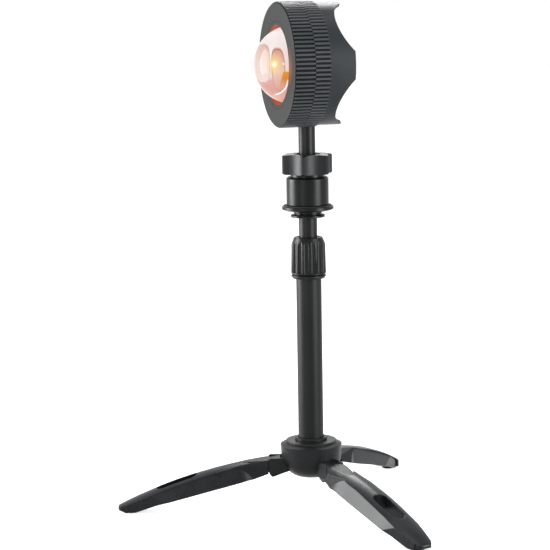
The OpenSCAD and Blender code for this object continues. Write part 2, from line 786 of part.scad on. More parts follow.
seat_core_h = 12;
module rod_seat() {
    color("#2a2c2e") difference() {
        union() {
            turned([
                [0, rod_top], [seat_d / 2, rod_top], [seat_d / 2, seat_top - 0.3],
                [seat_d / 2 - 0.3, seat_top],
                [seat_neck_d / 2 - 0.5, seat_top + 0.3], [seat_neck_d / 2 - 0.5, seat_top + 0.9],
                [seat_neck_d / 2, seat_top + 1.2], [seat_neck_d / 2, seat_neck_top], [0, seat_neck_top]
            ]);
            tube(rod_top - seat_core_h, rod_top + 0.5, rod_r - rod_wall);
        }
        translate([0, 0, rod_top - seat_core_h - 1]) cylinder(d = stud_d, h = 30);
    }
}

module platform_disc() {
    color("#26282a") turned([
        [stud_d / 2, seat_neck_top], [platform_d / 2 - 2.2, seat_neck_top],
        [platform_d / 2, seat_neck_top + 0.9],
        [platform_d / 2, platform_top - 0.2], [platform_d / 2 - 0.2, platform_top], [stud_d / 2, platform_top]
    ]);
}

module platform_pad() {
    color("#171717") tube(platform_top, pad_top, platform_d / 2 - 1.2, stud_d / 2);
}

module mount_stud() {
    tip = pad_top + stud_show;
    color("silver") turned([
        [0, rod_top - seat_core_h], [stud_d / 2, rod_top - seat_core_h], [stud_d / 2, tip - 0.6],
        [stud_d / 2 - 0.6, tip], [0, tip]
    ]);
}

// ---------------------------------------------------------------- ball head

insert_r = stud_d / 2 + 2;
insert_top = pad_top + stud_show + 0.6;
seat_bore_r = ball_d / 2 + 0.5;
neck_top = ball_z + 2.4;
ball_gap_r = ball_d / 2 + run_gap;
module socket_body() {
    socket_r = socket_d / 2;
    color("#2a2c2e") difference() {
        turned([
            [0, socket_foot], [socket_r - 0.5, socket_foot], [socket_r, socket_foot + 0.5],
            [socket_r, socket_top - socket_bevel], [socket_r - socket_bevel, socket_top],
            [neck_d / 2, socket_top],
            [neck_d / 2, neck_top], [0, neck_top]
        ]);
        tube(socket_foot - 1, insert_top + 1, insert_r);
        tube(insert_top, neck_top + 1, seat_bore_r);
    }
}

module stud_insert() {
    color("#b08d4a") difference() {
        tube(socket_foot, insert_top, insert_r);
        translate([0, 0, socket_foot - 1])
            cylinder(r = stud_d / 2 + run_gap, h = insert_top - socket_foot + 0.5);
    }
}

module ball_seat() {
    color("#dcdcd6") difference() {
        tube(insert_top, ball_z - 3, seat_bore_r);
        translate([0, 0, ball_z]) sphere(r = ball_gap_r);
        tube(insert_top - 1, insert_top + 4, 3);
    }
}

module clamp_nut() {
    knob_r = knob_d / 2;
    edge = 0.9;
    color("#313335") difference() {
        turned([
            [0, knob_foot], [knob_r - edge, knob_foot], [knob_r, knob_foot + edge * 0.7],
            [knob_r, knob_top - edge], [knob_r - edge, knob_top - edge * 0.4],
            [knob_r - 3 * edge, knob_top], [0, knob_top]
        ]);
        for (i = [0 : knob_ridges - 1]) rotate(knob_turn + (i + 0.5) * 360 / knob_ridges)
            translate([hollow_depth_r + hollow_radius, 0, knob_foot - 1])
                cylinder(r = hollow_radius, h = knob_h + 2);
        tube(knob_foot - 1, neck_top + 0.4, neck_d / 2 + run_gap);
        tube(neck_top, neck_top + 3.2, neck_d / 2 - 0.4);
        tube(neck_top, knob_top + 1, mouth_radius);
    }
}

// The ring between the ball and the clamp nut's shoulder
module clamp_ring() {
    color("#dcdcd6") difference() {
        tube(neck_top + 0.5, neck_top + 3.2, neck_d / 2 - 0.4, 7);
        translate([0, 0, ball_z]) sphere(r = ball_gap_r);
        translate([0, 0, neck_top]) cylinder(r = mouth_radius - 0.4, h = 10);
    }
}

module ball_stem() {
    stem_top = knob_top + stem_show + stem_grip;
    color("#2b2d2f") difference() {
        union() {
            translate([0, 0, ball_z]) sphere(d = ball_d);
            tube(ball_z, stem_top, stem_d / 2);
        }
        translate([0, 0, stem_top - 12]) cylinder(r = 1.75, h = 13);
    }
}

// ---------------------------------------------------------------- lamp head

stem_seat_z = knob_top + stem_show + stem_grip;
boss_top = stem_seat_z + 2.4;
module stem_screw() {
    color("silver") translate([0, 0, boss_top]) pan_screw(1.75, 11, 2.7, 2.2);
}

module rear_housing() {
    skirt_r = head_r - skirt_step;
    color("#222426") difference() {
        union() {
            in_head() {
                ribbed_band(front_band + face_gap, skirt_depth, inner_r, 180 / rib_count, false);
                head_ring(skirt_depth - 0.5, lobe_end, skirt_r, inner_r);
                head_ring(spigot_depth, skirt_depth, spigot_r, spigot_r - shell_wall);
                head_ring(front_band + 3, skirt_depth, inner_r + 0.5, inner_r - shell_wall);
                head_ring(bulkhead_depth, bulkhead_depth + bulkhead_thick, inner_r + 0.5, bulkhead_hole_r);
                for (a = post_angles) rotate(a) translate([back_screw_reach, 0, 0])
                    head_ring(bulkhead_depth + bulkhead_thick - 0.5, back_depth, post_r);
            }
            // Boss round the stem, rooted in the spigot's wall
            tube(head_z - spigot_r + shell_wall - 1, boss_top, stem_d / 2 + 3);
        }
        // Scalloped rear edge
        in_head() for (a = [45, 135]) rotate(a) translate([0, 0, -valley_end - scallop_radius])
            rotate([0, 90, 0]) cylinder(r = scallop_radius, h = head_d + 20, center = true, $fn = 180);
        // Bore for the stem and its screw
        tube(knob_top + stem_show - 3, stem_seat_z, stem_d / 2);
        tube(stem_seat_z - 1, boss_top + 1, 2);
        // Windows in the bulkhead for the switch and the inlet, and pilot holes
        in_head() {
            translate([0, control_reach, -bulkhead_depth])
                cube([switch_w + 1.4, switch_w + 1.4, 2 * back_depth], center = true);
            translate([0, -control_reach, -bulkhead_depth])
                cube([inlet_w + 1, inlet_h + 1, 2 * back_depth], center = true);
            for (a = post_angles) rotate(a) translate([back_screw_reach, 0, 0])
                head_ring(back_depth - 4, back_depth + 1, screw_r);
            for (a = post_angles) rotate(a + 10) translate([control_screw_reach, 0, 0])
                head_ring(bulkhead_depth - 1, bulkhead_depth + bulkhead_thick + 1, screw_r);
        }
    }
}

module heat_sink() {
    fin_pitch = 3 * fin_w;
    color("#b9bcc0") in_head() difference() {
        union() {
            head_ring(sink_depth, bulkhead_depth, sink_d / 2);
            intersection() {
                head_ring(bulkhead_depth - 0.5, back_depth - 0.8, bulkhead_hole_r - 0.5);
                for (i = [0 : fin_count - 1])
                    translate([(i - (fin_count - 1) / 2) * fin_pitch, 0, -back_depth])
                        cube([fin_w, 2 * sink_d, sink_d], center = true);
            }
        }
        for (a = [0, 180]) rotate(a) translate([led_screw_reach, 0, 0])
            head_ring(sink_depth - 1, back_depth, screw_r);
    }
}

module led_board() {
    color("#e8e8e4") in_head() difference() {
        head_ring(led_board_depth, sink_depth, led_board_d / 2);
        for (a = [0, 180]) rotate(a) translate([led_screw_reach, 0, 0])
            head_ring(led_board_depth - 1, sink_depth + 1, screw_r);
    }
}

module led_chip() {
    color("#f2c94a") in_head() translate([0, 0, -led_board_depth]) linear_extrude(led_board_depth - led_depth)
        square(led_w, center = true);
}

module light_cup() {
    mouth_r = ring_bore_r - 2;
    throat_r = cup_throat_d / 2;
    throat_depth = led_board_depth - 0.3;
    flange_r = ring_outer_r + 0.5;
    color("#e9e4da") in_head() turned([
        [mouth_r, -cup_depth], [flange_r, -cup_depth], [flange_r, -cup_depth - cup_wall],
        [mouth_r + 0.6, -cup_depth - cup_wall], [throat_r + cup_wall, -throat_depth],
        [throat_r, -throat_depth]
    ]);
}

module control_board() {
    board_in = sink_d / 2 + 1;
    board_out = control_reach + 4.6;
    color("#2f5a3a") in_head() difference() {
        head_ring(control_depth, bulkhead_depth, board_out, board_in);
        for (a = post_angles) rotate(a + 10) translate([control_screw_reach, 0, 0])
            head_ring(control_depth - 1, bulkhead_depth + 1, screw_r);
    }
}

module power_switch() {
    switch_end = bulkhead_depth + 2.2;
    color("#303030") in_head() translate([0, control_reach, 0]) {
        translate([0, 0, -switch_end]) linear_extrude(switch_end - bulkhead_depth)
            square(switch_w, center = true);
        head_ring(switch_end - 0.1, back_depth - button_travel - 1.05, 1.6);
    }
}

inlet_end = valley_end - 0.4;
module power_inlet() {
    shell = 0.4;
    color("silver") in_head() translate([0, -control_reach, 0]) {
        translate([0, 0, -inlet_end]) linear_extrude(inlet_end - bulkhead_depth) difference() {
            stadium(inlet_w, inlet_h);
            stadium(inlet_w - 2 * shell, inlet_h - 2 * shell);
        }
        translate([0, 0, -bulkhead_depth - 1]) linear_extrude(1) stadium(inlet_w, inlet_h);
        translate([0, 0, -inlet_end + 0.8]) linear_extrude(inlet_end - 0.8 - bulkhead_depth)
            square([inlet_w * 0.72, 0.7], center = true);
    }
}

module inner_screws() {
    color("silver") in_head() {
        for (a = post_angles) rotate(a + 10) translate([control_screw_reach, 0, -control_depth])
            pan_screw(screw_r, 2.4, screw_head_r, screw_head_h);
        for (a = [0, 180]) rotate(a) translate([led_screw_reach, 0, -led_board_depth])
            pan_screw(screw_r, 2.4, screw_head_r, 0.6);
    }
}

module back_plate() {
    plate_r = inner_r - 0.1;
    vent_in = 8;
    vent_out = 17;
    color("#2a2c2e") in_head() difference() {
        head_ring(back_depth, back_depth + back_thick, plate_r);
        for (i = [0 : vent_count - 1]) rotate((i + 0.5) * 360 / vent_count)
            translate([(vent_in + vent_out) / 2, 0, -60]) linear_extrude(60) stadium(vent_out - vent_in, 1.8);
        translate([0, control_reach, 0]) head_ring(back_depth - 1, 60, button_d / 2 + face_gap);
        translate([0, -control_reach, -60]) linear_extrude(60) stadium(inlet_w + 0.6, inlet_h + 0.6);
        for (a = post_angles) rotate(a) translate([back_screw_reach, 0, 0]) {
            head_ring(back_depth - 1, 60, screw_r + 0.1);
            head_ring(back_depth + back_thick - screw_head_h, 60, screw_head_r + 0.1);
        }
    }
}

module back_screws() {
    color("silver") in_head() for (a = post_angles) rotate(a)
        translate([back_screw_reach, 0, -back_depth - back_thick + screw_head_h]) rotate([180, 0, 0])
            pan_screw(screw_r, 4, screw_head_r, screw_head_h);
}

module power_button() {
    cap_r = button_d / 2;
    top = back_depth + back_thick + button_rise;
    color("#3b3d3f") in_head() translate([0, control_reach, 0]) turned([
        [0, -back_depth + button_travel + 0.15], [cap_r + 0.8, -back_depth + button_travel + 0.15],
        [cap_r + 0.8, -back_depth + 0.15], [cap_r, -back_depth + 0.15], [cap_r, -top + 0.5],
        [cap_r - 0.5, -top], [0, -top]
    ]);
}

// ---------------------------------------------------------------- front bezel and lens

module front_bezel() {
    color("#26282a") in_head() difference() {
        union() {
            ribbed_band(0, front_band, inner_r, 0, true);
            head_ring(0, face_thick, inner_r + 0.5);
        }
        head_ring(-1, face_thick + 1, lens_ring_d / 2);
    }
}

module lens_ring() {
    groove = 0.2;
    face_r = lens_ring_d / 2;
    color("#3b3b3a") in_head() turned([
        [aperture_d / 2, 0], [face_r - groove, 0], [face_r, -groove], [face_r, -face_thick],
        [ring_outer_r, -face_thick], [ring_outer_r, -ring_end], [ring_bore_r, -ring_end],
        [ring_bore_r, -rim_depth], [aperture_d / 2, -rim_depth]
    ]);
}

module lens_dome() {
    color([1, 0.75, 0.6, 0.6]) in_head() union() {
        head_ring(rim_depth, film_depth, lens_rim_d / 2);
        intersection() {
            translate([0, 0, -lens_depth]) sphere(d = lens_d, $fn = 144);
            head_ring(-lens_r, rim_depth + 0.5, lens_r + 1);
        }
    }
}

module colour_film() {
    color([1, 0.4, 0.2, 0.7]) in_head() head_ring(film_depth, gasket_depth, lens_rim_d / 2);
}

module lens_gasket() {
    color("#3a3a3a") in_head() head_ring(gasket_depth, retainer_depth, lens_rim_d / 2, lens_r - 0.5);
}

module lens_retainer() {
    color("#2c2e30") in_head() difference() {
        head_ring(retainer_depth, ring_end, ring_bore_r, lens_r - 1.5);
        for (a = [0, 180]) rotate(a) translate([lens_r, 0, -ring_end]) cube([8, 2, 1.2], center = true);
    }
}

hub_body();
hub_plate();
tube_collar();
main_tube();
tube_plug();
hub_screw();
leg_pins();
collet_sleeve();
color("#333537") at_leg(0) leg();  // leg_front
color("#333537") at_leg(1) leg();  // leg_right
color("#333537") at_leg(2) leg();  // leg_left
foot_pad(0);  // foot_pad_front
foot_pad(1);  // foot_pad_right
foot_pad(2);  // foot_pad_left
lock_nut();
pole_rod();
rod_guide();
rod_seat();
platform_disc();
platform_pad();
mount_stud();
socket_body();
stud_insert();
ball_seat();
clamp_nut();
clamp_ring();
ball_stem();
stem_screw();
rear_housing();
heat_sink();
led_board();
led_chip();
light_cup();
control_board();
power_switch();
power_inlet();
inner_screws();
back_plate();
back_screws();
front_bezel();
lens_ring();
lens_dome();
colour_film();
lens_gasket();
lens_retainer();
power_button();
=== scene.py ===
import math

import bpy
from mathutils import Matrix, Vector


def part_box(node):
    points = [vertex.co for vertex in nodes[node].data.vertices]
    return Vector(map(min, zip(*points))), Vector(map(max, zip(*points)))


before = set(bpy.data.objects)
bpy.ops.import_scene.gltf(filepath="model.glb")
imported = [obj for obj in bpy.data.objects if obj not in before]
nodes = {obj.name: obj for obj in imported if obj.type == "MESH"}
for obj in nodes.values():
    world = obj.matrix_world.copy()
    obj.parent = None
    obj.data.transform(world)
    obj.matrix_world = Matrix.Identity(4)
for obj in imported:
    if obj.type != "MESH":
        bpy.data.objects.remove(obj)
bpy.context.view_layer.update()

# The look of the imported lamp: its materials, its lit lens, the camera and the studio round it.
# Lengths are in metres, unless a comment says mm. The lens faces -Y, and the pole stands along Z.

# ------------------------------------------------------------ camera

# The photograph's own viewpoint, found from its ellipses and from where the feet stand
IMAGE_WIDTH = 550       # pixels
FOCAL_LENGTH = 1958.29  # pixels
SENSOR_WIDTH = 36       # mm
CAMERA_DISTANCE = 1.26402
CAMERA_HEIGHT = 0.3426
# Angle about the pole from the way the lens faces round to the camera
CAMERA_TURN = math.radians(72)
# In radians: how far the camera points down and to its right, and how far its right side is raised
PITCH = 0.1464265
YAW = -0.0174033
ROLL = -0.0168677


def add_camera():
    """Puts the scene's camera at the photograph's viewpoint."""
    ahead = math.cos(PITCH)
    forward = Vector((math.sin(YAW) * ahead, math.cos(YAW) * ahead, -math.sin(PITCH)))
    level = forward.cross(Vector((0, 0, 1))).normalized()
    upright = level.cross(forward)
    right = math.cos(ROLL) * level + math.sin(ROLL) * upright
    up = math.cos(ROLL) * upright - math.sin(ROLL) * level
    aim = Matrix((right, up, -forward)).transposed().to_4x4()
    place = Matrix.Translation((0, -CAMERA_DISTANCE, CAMERA_HEIGHT))
    camera = bpy.data.objects.new("camera", bpy.data.cameras.new("camera"))
    bpy.context.collection.objects.link(camera)
    camera.matrix_world = Matrix.Rotation(CAMERA_TURN, 4, "Z") @ place @ aim
    camera.data.sensor_width = SENSOR_WIDTH
    camera.data.lens = FOCAL_LENGTH / IMAGE_WIDTH * SENSOR_WIDTH
    camera.data.clip_start = 0.05
    camera.data.clip_end = 50
    bpy.context.scene.camera = camera


add_camera()

# ------------------------------------------------------------ node helpers


class Graph:
    """A node tree that starts empty, with short calls that add nodes to it."""

    def __init__(self, tree, output):
        self.tree = tree
        self.tree.nodes.clear()
        self.out = self.tree.nodes.new(output)

    def add(self, kind, inputs=None, **settings):
        node = self.tree.nodes.new("ShaderNode" + kind)
        for key, value in settings.items():
            setattr(node, key, value)
        for key, value in (inputs or {}).items():
            self.put(node.inputs[key], value)
        return node

    def put(self, socket, value):
        """Feeds a socket from another socket, from a node's first output, or with a plain value."""
        if isinstance(value, bpy.types.NodeSocket):
            self.tree.links.new(value, socket)
        elif isinstance(value, bpy.types.Node):
            self.tree.links.new(value.outputs[0], socket)
        else:
            socket.default_value = value

    def place(self):
        """The place on the object, in its own metres."""
        return self.add("TexCoord").outputs["Object"]

    def place_parts(self):
        """The same place, as its X, Y and Z."""
        return self.add("SeparateXYZ", {"Vector": self.place()}).outputs

    def noise(self, scale, detail=3.0, rough=0.5, stretch=(1, 1, 1)):
        """A noise whose scale is in cells per metre."""
        where = self.add("Mapping", {"Vector": self.place(), "Scale": stretch})
        return self.add("TexNoise", {"Vector": where, "Scale": scale, "Detail": detail, "Roughness": rough})

    def ramp(self, fac, stops):
        """Colours along a value, from pairs of a place and six hex digits."""
        node = self.add("ValToRGB", {"Fac": fac})
        while len(node.color_ramp.elements) < len(stops):
            node.color_ramp.elements.new(0.5)
        for element, (position, colour) in zip(node.color_ramp.elements, stops):
            element.position = position
            element.color = (*srgb(colour), 1)
        return node

    def math(self, operation, a, b=0.0, c=None):
        inputs = {0: a, 1: b} if c is None else {0: a, 1: b, 2: c}
        return self.add("Math", inputs, operation=operation)

    def minus(self, a, b):
        return self.math("SUBTRACT", a, b)

    def times(self, *values):
        total = values[0]
        for value in values[1:]:
            total = self.math("MULTIPLY", total, value)
        return total

    def map(self, value, low, high, to_low, to_high):
        return self.add("MapRange", {"Value": value, 1: low, 2: high, 3: to_low, 4: to_high}, clamp=True)

    def vary(self, noise, low, high):
        """Spreads the middle of a noise's values from one level to another."""
        return self.map(noise, 0.3, 0.7, low, high)

    def mix(self, fac, a, b):
        """Between two colours, or between two plain values written as greys."""
        node = self.add("MixRGB", {"Fac": fac})
        for socket, value in zip(node.inputs[1:], (a, b)):
            self.put(socket, (*value, 1) if isinstance(value, tuple) else value)
        return node

    def join(self, kind, a, b, fac=None):
        """Two shaders added or mixed."""
        node = self.add(kind, None if fac is None else {"Fac": fac})
        self.put(node.inputs[-2], a)
        self.put(node.inputs[-1], b)
        return node

    def finish(self, shader):
        self.put(self.out.inputs["Surface"], shader)


def new_material(name):
    """A material and its empty graph."""
    material = bpy.data.materials.new(name)
    material.use_nodes = True
    return material, Graph(material.node_tree, "ShaderNodeOutputMaterial")


def srgb(code):
    """A colour's linear red, green and blue, from its six hex digits."""
    values = [int(code[i:i + 2], 16) / 255 for i in (0, 2, 4)]
    return tuple(v / 12.92 if v <= 0.04045 else ((v + 0.055) / 1.055) ** 2.4 for v in values)


def scaled(colour, share):
    """A colour made darker or lighter, up to white."""
    return tuple(min(c * share, 1) for c in colour)


def grey(value):
    """A plain value in the form of a colour."""
    return (value, value, value)


def dress(material, *names):
    """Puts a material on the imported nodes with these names."""
    for name in names:
        mesh = nodes[name].data
        if not mesh.materials:
            mesh.materials.append(material)
        for i in range(len(mesh.materials)):
            mesh.materials[i] = material


# ------------------------------------------------------------ places on the lamp head

ring_lo, ring_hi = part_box("lens_ring")
bezel_lo, bezel_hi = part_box("front_bezel")
dome_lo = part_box("lens_dome")[0]
# The flat face, the height of the lens's axis, and the head's radius over its ribs
FACE_Y = ring_lo[1]
LENS_Z = (ring_lo[2] + ring_hi[2]) / 2
HEAD_R = (bezel_hi[0] - bezel_lo[0]) / 2
# The dome is part of a ball of this radius, whose centre is on the lens's axis, here
DOME_R = 0.025
DOME_Y = dome_lo[1] + DOME_R
# How far behind the flat face a place still counts as on it, in full and in part
FACE_FULL = 0.00005
FACE_PART = 0.0002


def face_mask(g):
    """1 on the flat front face of the lamp head, 0 behind it."""
    return g.map(g.place_parts()["Y"], FACE_Y + FACE_PART, FACE_Y + FACE_FULL, 0, 1)


def lens_radius(g):
    """Distance from the lens's axis."""
    place = g.place_parts()
    up = g.minus(place["Z"], LENS_Z)
    return g.math("SQRT", g.math("ADD", g.times(place["X"], place["X"]), g.times(up, up)))


# ------------------------------------------------------------ black surfaces

# Mottling: cells per metre, and the shares of the base colour between which it varies
MOTTLE_GRAIN = 60
MOTTLE_DARK = 0.86
MOTTLE_LIGHT = 1.16
SATIN_BUMP = 0.0004
# Specular levels: a plain black surface, the tops of the ribs, and the grooves between them
BLACK_SHINE = 0.11
RIB_SHINE = 0.16
GROOVE_SHINE = 0.04
# Depths below the ribs' tops: a rib's painted highlight is full down to RIB_LIGHT and fades out at RIB_DARK,
# the painted shade of the groove goes down to GROOVE_END, and the smooth skirt starts at SKIRT_START
RIB_LIGHT = 0.00015
RIB_DARK = 0.0006
GROOVE_END = 0.0009
SKIRT_START = 0.001
# The colour of the painted highlight on the ribs' tops
RIB_HIGHLIGHT_TONE = "4c5052"
# The flat face
FACE_TONES = ("0b0c0c", "101111")
FACE_ROUGH = 0.5
# Painted light from the lens on the face: a glow that fades between these radii, and between these heights
# above and below a level that is a little under the lens's axis
FACE_GLOW = 0.5
FACE_GLOW_TONE = "d8703c"
FACE_GLOW_RADII = (0.0255, 0.034)
FACE_GLOW_HEIGHTS = (0.002, 0.014)
FACE_GLOW_DROP = 0.001
# Painted light from the lens on the wall of the bore round it: a glow which ends between these radii
BORE_GLOW = 0.55
BORE_GLOW_TONES = ("c8502c", "e07a48")
BORE_RADII = (0.0257, 0.0259)


def satin_black(name, base, rough=0.4, shine=BLACK_SHINE, grain=900, depth=0.05, edge=0.0003, extra=None):
    """Black moulded or coated surface: fine texture, slight mottling, soft edges that catch the light."""
    material, g = new_material(name)
    dark = srgb(base)
    cloud = g.noise(MOTTLE_GRAIN, 3)
    fine = g.noise(grain, 2, 0.6)
    colour = g.mix(g.map(cloud, 0.35, 0.7, 0, 1), scaled(dark, MOTTLE_DARK), scaled(dark, MOTTLE_LIGHT))
    both = g.math("ADD", g.times(cloud, 0.6), g.times(fine, 0.4))
    gloss = g.vary(both, rough - 0.05, rough + 0.06)
    rounded = g.add("Bevel", {"Radius": edge}, samples=4)
    bump = g.add("Bump", {"Height": fine, "Strength": depth, "Distance": SATIN_BUMP, "Normal": rounded})
    shader = g.add("BsdfPrincipled", {
        "Base Color": colour, "Roughness": gloss, "Normal": bump, "Specular IOR Level": shine,
    })
    if extra:
        extra(g, shader, colour, gloss, fine)
    g.finish(shader)
    return material


def paint_rib_light(g, shader, colour, gloss, fine):
    """Painted light: a highlight on the ribs' tops, and painted shade in the grooves between them."""
    radius = lens_radius(g)
    top = g.map(radius, HEAD_R - RIB_DARK, HEAD_R - RIB_LIGHT, 0, 1)
    skirt = g.map(radius, HEAD_R - GROOVE_END, HEAD_R - SKIRT_START, 0, 1)
    # Painted shade: the grooves darkened towards black
    painted_groove_shade = g.mix(skirt, g.mix(0.6, colour, grey(0)), colour)
    # Painted highlight: the ribs' tops lightened towards a pale grey
    painted_rib_light = g.mix(top, painted_groove_shade, g.mix(0.2, colour, srgb(RIB_HIGHLIGHT_TONE)))
    shine = g.mix(skirt, grey(GROOVE_SHINE), grey(BLACK_SHINE))
    g.put(shader.inputs["Base Color"], painted_rib_light)
    g.put(shader.inputs["Specular IOR Level"], g.mix(top, shine, grey(RIB_SHINE)))
    return painted_rib_light


def add_face(g, shader, colour, gloss, fine):
    """A rough, dark face, with painted light: the lens's warm light on it, and a redder one on the bore's
    wall.
    """
    mask = face_mask(g)
    face = g.mix(fine, srgb(FACE_TONES[0]), srgb(FACE_TONES[1]))
    g.put(shader.inputs["Base Color"], g.mix(mask, colour, face))
    g.put(shader.inputs["Roughness"], g.mix(mask, gloss, grey(FACE_ROUGH)))
    radius = lens_radius(g)
    # Painted light: a warm glow on the face beside the lens
    high = g.math("ABSOLUTE", g.minus(g.place_parts()["Z"], LENS_Z - FACE_GLOW_DROP))
    near = g.map(radius, *FACE_GLOW_RADII, FACE_GLOW, 0)
    painted_face_glow = g.times(near, g.map(high, *FACE_GLOW_HEIGHTS, 1, 0), mask)
    # Painted light: a red glow on the bore's wall
    wall = g.map(radius, *BORE_RADII, BORE_GLOW, 0)
    bore_glow_tone = g.mix(fine, srgb(BORE_GLOW_TONES[0]), srgb(BORE_GLOW_TONES[1]))
    g.put(shader.inputs["Emission Color"], g.mix(mask, bore_glow_tone, srgb(FACE_GLOW_TONE)))
    g.put(shader.inputs["Emission Strength"], g.mix(mask, wall, painted_face_glow))


def paint_rib_and_face_light(g, shader, colour, gloss, fine):
    """The bezel has both."""
    add_face(g, shader, paint_rib_light(g, shader, colour, gloss, fine), gloss, fine)


dress(satin_black("shell", "1c1f21", 0.42, 0.14, extra=paint_rib_light), "rear_housing")
dress(satin_black("plate", "1c1f21", 0.42, 0.14), "back_plate", "power_button")
dress(satin_black("bezel", "181b1d", 0.36, 0.14, edge=0.00012, extra=paint_rib_and_face_light), "front_bezel")
dress(satin_black("ring", "14171a", 0.36, edge=0.00012, extra=add_face), "lens_ring")
dress(satin_black("legs", "0f1113", 0.28, grain=1400, depth=0.03, edge=0.0006),
      "leg_front", "leg_right", "leg_left")
dress(satin_black("hub", "0c0d0e", 0.36, 0.12), "hub_body", "hub_plate", "tube_collar", "leg_pins")
dress(satin_black("pole", "070808", 0.4, 0.13, grain=1800, depth=0.03), "main_tube", "pole_rod", "ball_stem")
dress(satin_black("socket", "060707", 0.32, 0.12, grain=1600, depth=0.02),
      "rod_seat", "platform_disc", "socket_body")
dress(satin_black("knob", "0f1112", 0.38, 0.14, grain=1300, depth=0.1), "clamp_nut")
dress(satin_black("nut", "08090a", 0.34, 0.14, grain=1300, depth=0.06), "lock_nut")

# ------------------------------------------------------------ other plain surfaces

# Cells per metre of the slow change of tone, and how far it goes to either side of the base colour
TONE_GRAIN = 90
TONE_CHANGE = 0.08
PLAIN_BUMP = 0.0003


def plain(name, base, rough=0.5, metallic=0.0, shine=0.5, grain=500, depth=0.05, stretch=(1, 1, 1)):
    """Simple plastic, rubber or metal: fine grain, slight change of tone."""
    material, g = new_material(name)
    tone = srgb(base)
    cloud = g.noise(TONE_GRAIN, 3)
    fine = g.noise(grain, 2, 0.6, stretch)
    g.finish(g.add("BsdfPrincipled", {
        "Base Color": g.mix(cloud, scaled(tone, 1 - TONE_CHANGE), scaled(tone, 1 + TONE_CHANGE)),
        "Roughness": g.vary(fine, rough - 0.05, rough + 0.05),
        "Normal": g.add("Bump", {"Height": fine, "Strength": depth, "Distance": PLAIN_BUMP}),
        "Specular IOR Level": shine,
        "Metallic": metallic,
    }))
    return material


dress(plain("rubber", "171717", 0.8, shine=0.2, grain=1500, depth=0.15),
      "foot_pad_front", "foot_pad_right", "foot_pad_left", "platform_pad", "lens_gasket")
dress(plain("steel", "b4b8bc", 0.32, 1.0, stretch=(1, 1, 8)),
      "hub_screw", "mount_stud", "stem_screw", "inner_screws", "back_screws", "power_inlet")
dress(plain("brass", "b08d4a", 0.35, 1.0), "stud_insert")
dress(plain("pale_plastic", "dcd8ce"), "collet_sleeve", "rod_guide", "ball_seat", "clamp_ring", "tube_plug")
dress(plain("dark_plastic", "2c2e30"), "lens_retainer", "power_switch")
dress(plain("sink_metal", "b5b8bb", 0.4, 1.0), "heat_sink")
dress(plain("board_white", "e6e6e2"), "led_board")
dress(plain("board_green", "2f5a3a", 0.45), "control_board")
dress(plain("cup", "e9c0a0", 0.3), "light_cup")

# ------------------------------------------------------------ lit dome, its pattern painted as light

# The dome's pattern is laid out in mm from the centre of its ball, as the photograph's camera sees it:
# across to the right, up, and back along the lens's axis. The dome's far side mirrors the near one.
# The pattern is painted light: the source's images, glows, highlights and reflections are colour and glow on
# the dome, not refraction.
MM = 1000
# The light source's two painted images: centres and half sizes, across and up
LEFT_CENTRE = (-18.6, 1.5)
LEFT_HALF = (4.4, 11.8)
RIGHT_CENTRE = (-8.7, -2.5)
RIGHT_HALF = (4.1, 13.2)
RIGHT_LEAN = 0.05
# How square they are, where 2 is an ellipse
SQUARENESS = 3.0
# Half widths of their outlines, as shares of their sizes
LEFT_LINE = 0.09
RIGHT_LINE = 0.1
# The painted white streak of light between them
STREAK_ACROSS = -13.4
STREAK_HALF = 0.9
# The light source's painted glow, and how much taller it is than wide
GLOW_CENTRE = (-11.3, 1.2)
GLOW_STRETCH = (1, 1.15)
# The painted orange patch of light: its left edge leans with height; where it is level with the centre, and
# its slope
PATCH_EDGE = -4.9
PATCH_SLOPE = 0.25
# The painted arc of a lamp's reflection
ARC_CENTRE = (-13.0, -8.4)
ARC_HALF = (10.1, 10.1)
ARC_LINE = 0.075
# Radii between which the painted pale rim light comes in
OUTLINE_RADII = (23.7, 24.6)
# Places along the lens's axis: the painted white highlight by the ring, and where the painted red glow comes
# in behind it
RING_LINE_BACK = -9.6
RING_LINE_HALF = 0.7
RED_BACK = (-6.5, -5.0)
# How bright the dome's painted glow is at its left and further right, and where that changes
DOME_GLOW = (0.66, 0.84)
DOME_GLOW_ACROSS = (-23, -12)


def lens_place(g):
    """Across, up and back on the dome, in mm from the centre of its ball."""
    place = g.place_parts()
    back = g.times(g.minus(place["Y"], DOME_Y), MM)
    side = g.times(g.math("ABSOLUTE", place["X"]), MM * math.cos(CAMERA_TURN))
    across = g.math("ADD", side, g.times(back, math.sin(CAMERA_TURN)))
    return across, g.times(g.minus(place["Z"], LENS_Z), MM), back


def lobe(g, across, up, centre, half, power=2.0, lean=0.0):
    """A rounded shape: below 1 inside, 1 on its outline. A lean shifts it across as it goes down."""
    middle = g.math("MULTIPLY_ADD", up, -lean, centre[0] + lean * centre[1])
    terms = []
    for value, at, size in ((across, middle, half[0]), (up, centre[1], half[1])):
        share = g.math("DIVIDE", g.minus(value, at), size)
        terms.append(g.math("POWER", g.math("ABSOLUTE", share), power))
    return g.math("POWER", g.math("ADD", *terms), 1 / power)


def band(g, value, at, half):
    """1 where a value is at a level, fading to 0 at half a width to either side."""
    return g.map(g.math("ABSOLUTE", g.minus(value, at)), 0, half, 1, 0)


def source_image(g, colour, shape, tone, line, line_tone):
    """One painted image of the light source: a filled lobe, and a line along its outline."""
    inside = g.map(shape, 0.98, 1.02, 1, 0)
    return g.mix(line, g.mix(inside, colour, tone), srgb(line_tone))


